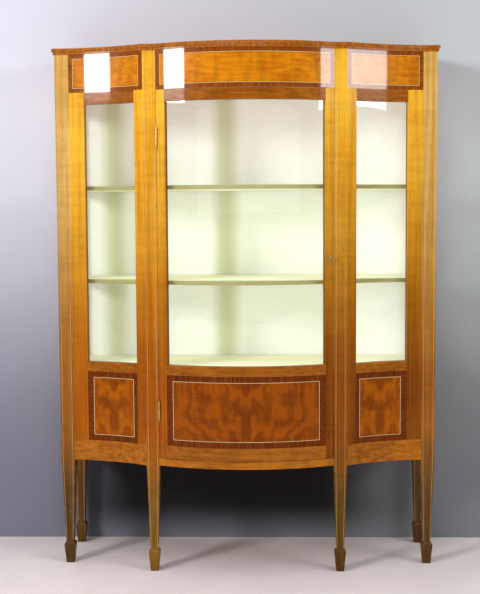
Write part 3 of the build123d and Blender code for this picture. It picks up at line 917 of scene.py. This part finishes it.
def cover_board(node, inset, gap):
    """A cloth that wraps a board, its section carried along the front line."""
    low, high = box_of(node)
    x = columns(gap, high[0])
    front = front_line(x, inset, gap)
    back = np.where(np.abs(x) > BACK_POST_IN - gap, BACK_POST_FRONT - gap, high[1])
    share, nose, height = section()
    y = front[:, None] + share * (back - front)[:, None] + EDGE_ROUND * nose
    z = low[2] + height * (high[2] - low[2]) + np.zeros_like(y)
    points = np.stack([x[:, None] + np.zeros_like(y), y, z], axis=-1)
    ends = points[[0, -1]].copy()
    ends[..., 2] = (low[2] + high[2]) / 2
    points = np.concatenate([ends[:1], points, ends[1:]])
    around = running_length(points[1, :, 1:])
    uv = np.stack([points[..., 0], around + np.zeros(points.shape[:2])], axis=-1)
    faces = grid_faces(*points.shape[:2], closed=True)
    name = f"{node}_cover"
    piece = new_piece(name, points, faces, SHADED_SHELF_SILK, "case", uv=uv)
    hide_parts(node)
    flat = tuple(high[k] - low[k] + 2 * COVER_TURNED_UNDER for k in (0, 1))
    cut = float(np.trapz(back - front, x)) + 2 * sum(flat) * COVER_TURNED_UNDER
    print(f"{name}: silk {flat[0]:.2f} by {flat[1]:.2f} m, cut to {cut:.3f} square metres")


cover_board("upper_shelf", SHELF_SETBACK, SHELF_GAP)
cover_board("lower_shelf", SHELF_SETBACK, SHELF_GAP)
cover_board("display_floor", FLOOR_SETBACK, 0.0)

# %% [markdown]
# ## The lining of the back
#
# The back is lined with the same silk, turned over a thin board and tacked. Pulled
# from its edges it lies nearly flat, with faint upright ripples and a soft roll
# where it goes over the board's edge. The ripples are two sines of a fraction of a
# millimetre, faded out towards the edges. Soft upright bands of painted shade, one
# cloth's width apart, darken the silk's colour.

# %% Line the back
LINING_GRID = (361, 221)
LINING_PROUD = 0.0004
ROLL_DEPTH = 0.0022
ROLL_REACH = 0.0035
RIPPLE_FADE = 0.05
BROAD_RIPPLE = 0.0002
FINE_RIPPLE = 0.00012


def line_back():
    """A sheet over the lining board: y dips at the rim and ripples by sines in between."""
    low, high = box_of("back_lining")
    s, t = np.meshgrid(*(np.linspace(0, 1, count) for count in LINING_GRID), indexing="ij")
    x = low[0] + s * (high[0] - low[0])
    z = low[2] + t * (high[2] - low[2])
    rim = np.minimum(np.minimum(x - low[0], high[0] - x), np.minimum(z - low[2], high[2] - z))
    roll = ROLL_DEPTH * np.exp(-rim / ROLL_REACH)
    fade = 1 - np.exp(-rim / RIPPLE_FADE)
    ripple = BROAD_RIPPLE * np.sin(52 * x + 1.4 * np.sin(3.1 * z))
    ripple += FINE_RIPPLE * np.sin(131 * x + 5 * z)
    y = low[1] + LINING_PROUD + roll + fade * ripple
    points = np.stack([x, y, z], axis=-1)
    uv = np.stack([x, z], axis=-1)
    faces = grid_faces(*LINING_GRID)
    piece = new_piece("back_silk", points, faces, SILK, "case", uv=uv)
    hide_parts("back_lining")
    return piece


back_silk = line_back()
print("lining", [round(v, 3) for v in back_silk.dimensions])

# %% [markdown]
# ## Braid along the shelves
#
# A narrow woven braid hides the tacks on the front edge of each shelf and round
# the lining. It is a strip carried along its path, and its relief is the woven
# look: two rows of slanting stitches that lean towards each other.

# %% Weave the braid
STITCH = 0.0042
BRAID_THICK = 0.0011
BRAID_STEP = 0.0011
BRAID_COLUMNS = 9
BRAID_RELIEF = 0.0002
FRONT_POINTS = 400
SHELF_BRAID_WIDTH = 0.0125
LINING_BRAID_WIDTH = 0.01
SHORT_OF_POST = 0.003
EDGE_IN = 0.006
BRAID_PROUD = 0.0006
BRAID_TONES = linear(204, 201, 140), linear(164, 160, 98)
WORN_BRAID = linear(206, 196, 140)


def braid_finish():
    f = Finish("olive_silk_braid")
    fine = f.noise(f.place(), scale=900.0, detail=3.0)
    worn = f.noise(f.place(), scale=14.0, detail=3.0)
    colour = f.mix(f.rise(fine, 0.35, 0.65), *BRAID_TONES)
    colour = f.mix(0.35 * worn, colour, WORN_BRAID)
    sheen = {"Sheen Weight": 0.3, "Sheen Roughness": 0.4}
    return f.surface(colour, 0.6 + 0.2 * fine, fine, BRAID_RELIEF, **sheen)


BRAID = braid_finish()


def resample(path):
    """Points at even steps along a polyline, by its running length."""
    length = running_length(path)
    even = np.linspace(0, length[-1], int(length[-1] / BRAID_STEP))
    return np.stack([np.interp(even, length, path[:, k]) for k in range(3)], axis=-1)


def braid(name, path, outward, width):
    """A strip along a path: domed across, with slanting stitches as a sine of length and width.

    outward is the direction that the strip faces at each point of the path.
    """
    along = np.gradient(path, axis=0)
    along /= np.linalg.norm(along, axis=1, keepdims=True)
    across = np.cross(outward, along)
    across /= np.linalg.norm(across, axis=1, keepdims=True)
    run = running_length(path)
    v = np.linspace(-1, 1, BRAID_COLUMNS)
    slant = np.abs(np.sin(math.pi * (run[:, None] / STITCH + 0.6 * np.abs(v))))
    proud = BRAID_THICK * (0.45 + 0.55 * slant) * np.sqrt(np.clip(1 - v**6, 0, 1))
    points = (
        path[:, None, :]
        + 0.5 * width * v[None, :, None] * across[:, None, :]
        + proud[..., None] * outward[:, None, :]
    )
    return new_piece(name, points, grid_faces(*points.shape[:2]), BRAID, "case")


def shelf_braid(name, node, first, last):
    """Braid on a shelf's front edge between two values of x."""
    low, high = box_of(node)
    x = np.linspace(first, last, FRONT_POINTS)
    y = front_line(x, SHELF_SETBACK, SHELF_GAP)
    z = np.full_like(x, (low[2] + high[2]) / 2)
    path = resample(np.stack([x, y, z], axis=-1))
    slope = np.gradient(path[:, 1], path[:, 0])
    outward = np.stack([slope, -np.ones_like(slope), np.zeros_like(slope)], axis=-1)
    outward /= np.linalg.norm(outward, axis=1, keepdims=True)
    return braid(name, path, outward, SHELF_BRAID_WIDTH)


DOOR_REACH = POST_INNER[0] - SHORT_OF_POST
FLANK_REACH = (POST_INNER[1] + SHORT_OF_POST, OUTER_POST_IN - SHORT_OF_POST)
braids = []
for shelf in ("upper_shelf", "lower_shelf"):
    braids.append(shelf_braid(f"{shelf}_braid", shelf, -DOOR_REACH, DOOR_REACH))
    for side, sign in (("left", -1), ("right", 1)):
        ends = sorted(sign * reach for reach in FLANK_REACH)
        braids.append(shelf_braid(f"{shelf}_braid_{side}", shelf, *ends))


def lining_braid():
    """Braid round the lining in three straight runs: left, top and right."""
    low, high = box_of("back_lining")
    floor_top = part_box("display_floor")[1][2]
    left, right = low[0] + EDGE_IN, high[0] - EDGE_IN
    foot, head = floor_top + EDGE_IN, high[2] - EDGE_IN
    level = [(left, foot), (left, head), (right, head), (right, foot)]
    corners = np.array([(x, low[1] + BRAID_PROUD, z) for x, z in level])
    pieces = []
    for number, name in enumerate(("left", "top", "right")):
        path = resample(corners[number:number + 2])
        outward = np.tile([0.0, -1.0, 0.0], (len(path), 1))
        name = f"lining_braid_{name}"
        pieces.append(braid(name, path, outward, LINING_BRAID_WIDTH))
    return pieces


braids += lining_braid()
print(len(braids), "lengths of braid")

# %% [markdown]
# ## Screws
#
# The hinges and the lock are held by countersunk brass screws. A head is a shallow
# dome with a slot across it. Its points are rows of chords across a disc, with
# two rows at each side of the slot, so the slot has sharp walls.

# %% Drive the screws
# The rows of chords at one side of a head, and the slot's half width, as shares of
# its radius.
HEAD_ROWS = (-1, -0.97, -0.85, -0.6, -0.35)
HEAD_COLUMNS = 11
SLOT_SHARE = 0.16
SLOT_WAY = (0.0, 0.3, 1.0)


def screw_heads(name, places, out, radius, body, proud):
    """Screw heads at several places, facing a direction: height is a dome less the slot.

    proud is how far the middle of a head stands above what it is driven into.
    """
    out = np.array(out, float)
    slot_way = np.array(SLOT_WAY)
    slot_way -= slot_way.dot(out) * out
    slot_way /= np.linalg.norm(slot_way)
    other = np.cross(out, slot_way)
    half_slot = SLOT_SHARE * radius
    v = np.array(HEAD_ROWS) * radius
    slot = np.array([-half_slot - HAIR, -half_slot])
    v = np.concatenate([v, slot, -slot[::-1], -v[::-1]])
    u = np.linspace(-1, 1, HEAD_COLUMNS)
    chord = np.sqrt(np.clip(radius**2 - v**2, 0, None))
    x = chord[:, None] * u[None, :]
    y = np.broadcast_to(v[:, None], x.shape)
    off_middle = (x**2 + y**2) / radius**2
    rise = proud * np.where(np.abs(y) <= half_slot, 0.15, 1 - 0.75 * off_middle)
    rise = np.where(off_middle > 0.98, 0.0, rise)
    local = x[..., None] * slot_way + y[..., None] * other + rise[..., None] * out
    places = np.array(places, float)
    points = places[:, None, None, :] + local[None]
    one = grid_faces(*x.shape)
    faces = (one[None] + (np.arange(len(places)) * x.size)[:, None, None]).reshape(-1, 4)
    new_piece(name, points, faces, finishes["brass"], body)
    print(f"{name}: {len(places)} screws")


HINGE_SCREW = 0.0024
HINGE_SCREW_PROUD = 0.00007
LOCK_SCREW = 0.002
LOCK_SCREW_PROUD = 0.0004
LOCK_SCREW_INSET = 0.004
LEAF_FACE = {"door": -0.28115, "case": -0.28135}
HINGE_LEVELS = (0.4985, 1.3725)
HINGE_LENGTH = 0.064

# Three screws to a leaf, each with a share of its length and a y. The middle one is
# nearer the edge of the leaf.
LEAF_SCREWS = ((0.14, -0.1345), (0.5, -0.1305), (0.86, -0.1345))

for name, body, facing in (("hinge_screws_door", "door", -1), ("hinge_screws_post", "case", 1)):
    places = [
        (LEAF_FACE[body], y, level + share * HINGE_LENGTH)
        for level in HINGE_LEVELS for share, y in LEAF_SCREWS
    ]
    screw_heads(name, places, (facing, 0, 0), HINGE_SCREW, body, HINGE_SCREW_PROUD)

lock_low, lock_high = box_of("lock_case")
lock_x, lock_z = (
    (lock_low[k] + LOCK_SCREW_INSET, lock_high[k] - LOCK_SCREW_INSET) for k in (0, 2)
)
lock_places = [(x, lock_high[1], z) for x in lock_x for z in lock_z]
screw_heads("lock_screws", lock_places, (0, 1, 0), LOCK_SCREW, "door", LOCK_SCREW_PROUD)

# %% [markdown]
# ## Floor and backdrop
#
# The cabinet stands on a pale floor, close to a grey wall. Its colour is painted
# lighter at the upper left and darker to the right and lower down, as painted light
# and shade, with a painted shadow, nearly black, behind the legs. The colour gives
# all that, so the light on the cabinet can stay plain. The wall shows only from the
# front: from behind it is clear, so that the cabinet can be looked at from there too.

# %% Floor and backdrop
WALL_Y = 0.245
WALL_HIGH = 5
ROOM_WIDE = 12
ROOM_DEEP = 14
ROOM_FRONT = -8
FLOOR_TONES = linear(241, 230, 227), linear(230, 219, 217)
FLOOR_SPECKS = linear(176, 162, 158)
# Painted light and shade: the wall's tones high up and low down, left then right.
WALL_TOP = linear(221, 222, 235), linear(200, 207, 212)
WALL_LOW = linear(129, 130, 144), linear(134, 138, 142)
# Colour of the painted shadow behind and under the cabinet.
WALL_PAINTED_SHADOW = linear(30, 27, 25)
PAINTED_LIGHT_HEIGHTS = (0.17, 1.66)
PAINTED_SHADOW_X = -0.09
PAINTED_SHADOW_FADES = (0.34, 0.66)


def plain_plane(name, y, side, material):
    """A rectangle as wide as the room: where its lower edge is, and its other side."""
    across, side = Vector((ROOM_WIDE, 0, 0)), Vector(side)
    start = Vector((-ROOM_WIDE / 2, y, 0))
    points = [start, start + across, start + across + side, start + side]
    mesh = bpy.data.meshes.new(name)
    mesh.from_pydata(points, [], [(0, 1, 2, 3)])
    mesh.materials.append(material)
    thing = put_in_scene(name, mesh)


def floor_finish():
    f = Finish("pale_floor")
    clouds = f.noise(f.place(), scale=2.2, detail=5.0, rough=0.6)
    specks = f.noise(f.place(), scale=160.0, detail=3.0)
    colour = f.mix(f.rise(clouds, 0.35, 0.65), *FLOOR_TONES)
    colour = f.mix(0.25 * f.rise(specks, 0.55, 0.7), colour, FLOOR_SPECKS)
    return f.surface(colour, 0.6 + 0.1 * clouds, specks, 0.0002)


def wall_finish():
    """Flat paint with painted light and shade, mixed from left to right and from low to high,
    and a painted shadow behind the legs.
    """
    f = Finish("grey_wall")
    x, _, z = f.parts(f.place())
    clouds = f.noise(f.place(), scale=1.1, detail=4.0)
    # Painted light and shade: paler to the left and upwards.
    aside = f.rise(x + 0.25 * (clouds - 0.5), -1.0, 1.0)
    up = f.rise(z + 0.2 * (clouds - 0.5), *PAINTED_LIGHT_HEIGHTS)
    top = f.mix(aside, *WALL_TOP)
    low = f.mix(aside, *WALL_LOW)
    # Painted shadow behind the legs, under the cabinet's body.
    behind_legs = 1 - f.rise(abs(x - PAINTED_SHADOW_X), *PAINTED_SHADOW_FADES)
    painted_shadow = behind_legs * f.rise(z, -0.04, 0.13) * (1 - f.rise(z, 0.4, 0.6))
    colour = f.mix(0.93 * painted_shadow, f.mix(up, low, top), WALL_PAINTED_SHADOW)
    painted = f.add("ShaderNodeBsdfDiffuse", {}, {"Color": colour})
    nothing = f.add("ShaderNodeBsdfTransparent", {}, {})
    from_behind = f.add("ShaderNodeNewGeometry", {}, {}, ("Backfacing",))
    return f.end(f.add("ShaderNodeMixShader", {}, {0: from_behind, 1: painted, 2: nothing}))


plain_plane("floor", ROOM_FRONT, (0, ROOM_DEEP, 0), floor_finish())
plain_plane("wall", WALL_Y, (0, 0, WALL_HIGH), wall_finish())
print(f"wall {1000 * (WALL_Y - BACK_Y):.0f} mm behind the cabinet")

# %% [markdown]
# ## Light
#
# Two tall lamps with soft boxes stand well to either side of the camera. They send
# light through the glass on to the silk, and they show as bright patches on the
# bowed frieze and the flanks. A broad, weak light from the front fills the
# shadows. The soft boxes alone would leave the inside dim, so three weak lamps
# stand inside it, facing the lining, and a fourth lights the back of the cabinet
# from the gap before the wall. Neither the camera nor the polish sees those four.
#
# The world is dark at eye level and pale overhead, like a room with a white
# ceiling, and a camera that looks past the wall sees a plain grey.

# %% Lamps


def lamp_sheet(name, place, heights, width, radiance, facing):
    """An upright rectangular lamp that faces level towards a point.

    Its watts come from how bright its face is: radiance times pi times its area.
    """
    data = bpy.data.lights.new(name, "AREA")
    data.shape = "RECTANGLE"
    data.size = width
    data.size_y = heights[1] - heights[0]
    data.energy = radiance * math.pi * data.size * data.size_y
    lamp = put_in_scene(name, data)
    lamp.location = (*place, sum(heights) / 2)
    level = Vector((facing[0] - place[0], facing[1] - place[1], 0.0))
    lamp.rotation_euler = level.to_track_quat("-Z", "Y").to_euler()
    return lamp


# Each lamp has a place in plan, a bottom and top, a width, a radiance, and the
# point that it faces.
CABINET_MIDDLE = (0.0, -0.15)
INSIDE = (0.67, 1.62)
SEEN_LAMPS = {
    "left_soft_box": ((-2.89, -2.95), (1.9, 2.75), 0.92, 42, CABINET_MIDDLE),
    "right_soft_box": ((3.56, -2.39), (1.86, 2.72), 1.6, 12, CABINET_MIDDLE),
    "front_fill": ((0.1, -4.5), (1.15, 1.95), 5.6, 0.75, CABINET_MIDDLE),
}
UNSEEN_LAMPS = {
    "door_fill": ((0.0, -0.12), INSIDE, 0.54, 1.3, (0.0, BACK_Y)),
    "left_flank_fill": ((-0.44, -0.02), INSIDE, 0.18, 1.25, (-0.44, BACK_Y)),
    "right_flank_fill": ((0.44, -0.02), INSIDE, 0.18, 1.9, (0.44, BACK_Y)),
    "back_fill": ((0.0, WALL_Y - 0.008), (0.42, 1.66), 1.19, 0.75, CABINET_MIDDLE),
}
for name, how in SEEN_LAMPS.items():
    lamp_sheet(name, *how)
for name, how in UNSEEN_LAMPS.items():
    lamp = lamp_sheet(name, *how)
    lamp.visible_camera = False
    lamp.visible_glossy = False

OVERHEAD = {"From Min": 0.6, "From Max": 0.85, "To Min": 0.06, "To Max": 1.75}
CAMERA_GREY = 0.42
SKY = (0.95, 0.97, 1.0)


def studio_world():
    """Dark at eye level and pale overhead, with a plain grey that only a camera sees."""
    f = Finish("studio", "worlds")
    _, _, height = f.parts(f.add("ShaderNodeTexCoord", {}, {}, ("Generated",)))
    settings = {"interpolation_type": "SMOOTHSTEP"}
    light = f.add("ShaderNodeMapRange", settings, {"Value": height, **OVERHEAD})
    looked_at = f.add("ShaderNodeLightPath", {}, {}, ("Is Camera Ray",))
    strength = f.add("ShaderNodeMix", {}, {"Factor": looked_at, "A": light, "B": CAMERA_GREY})
    shader = f.add("ShaderNodeBackground", {}, {"Color": SKY, "Strength": strength})
    f.add("ShaderNodeOutputWorld", {}, {"Surface": shader}, ())
    return f.material


bpy.context.scene.world = studio_world()
bpy.context.scene.view_settings.view_transform = "Standard"
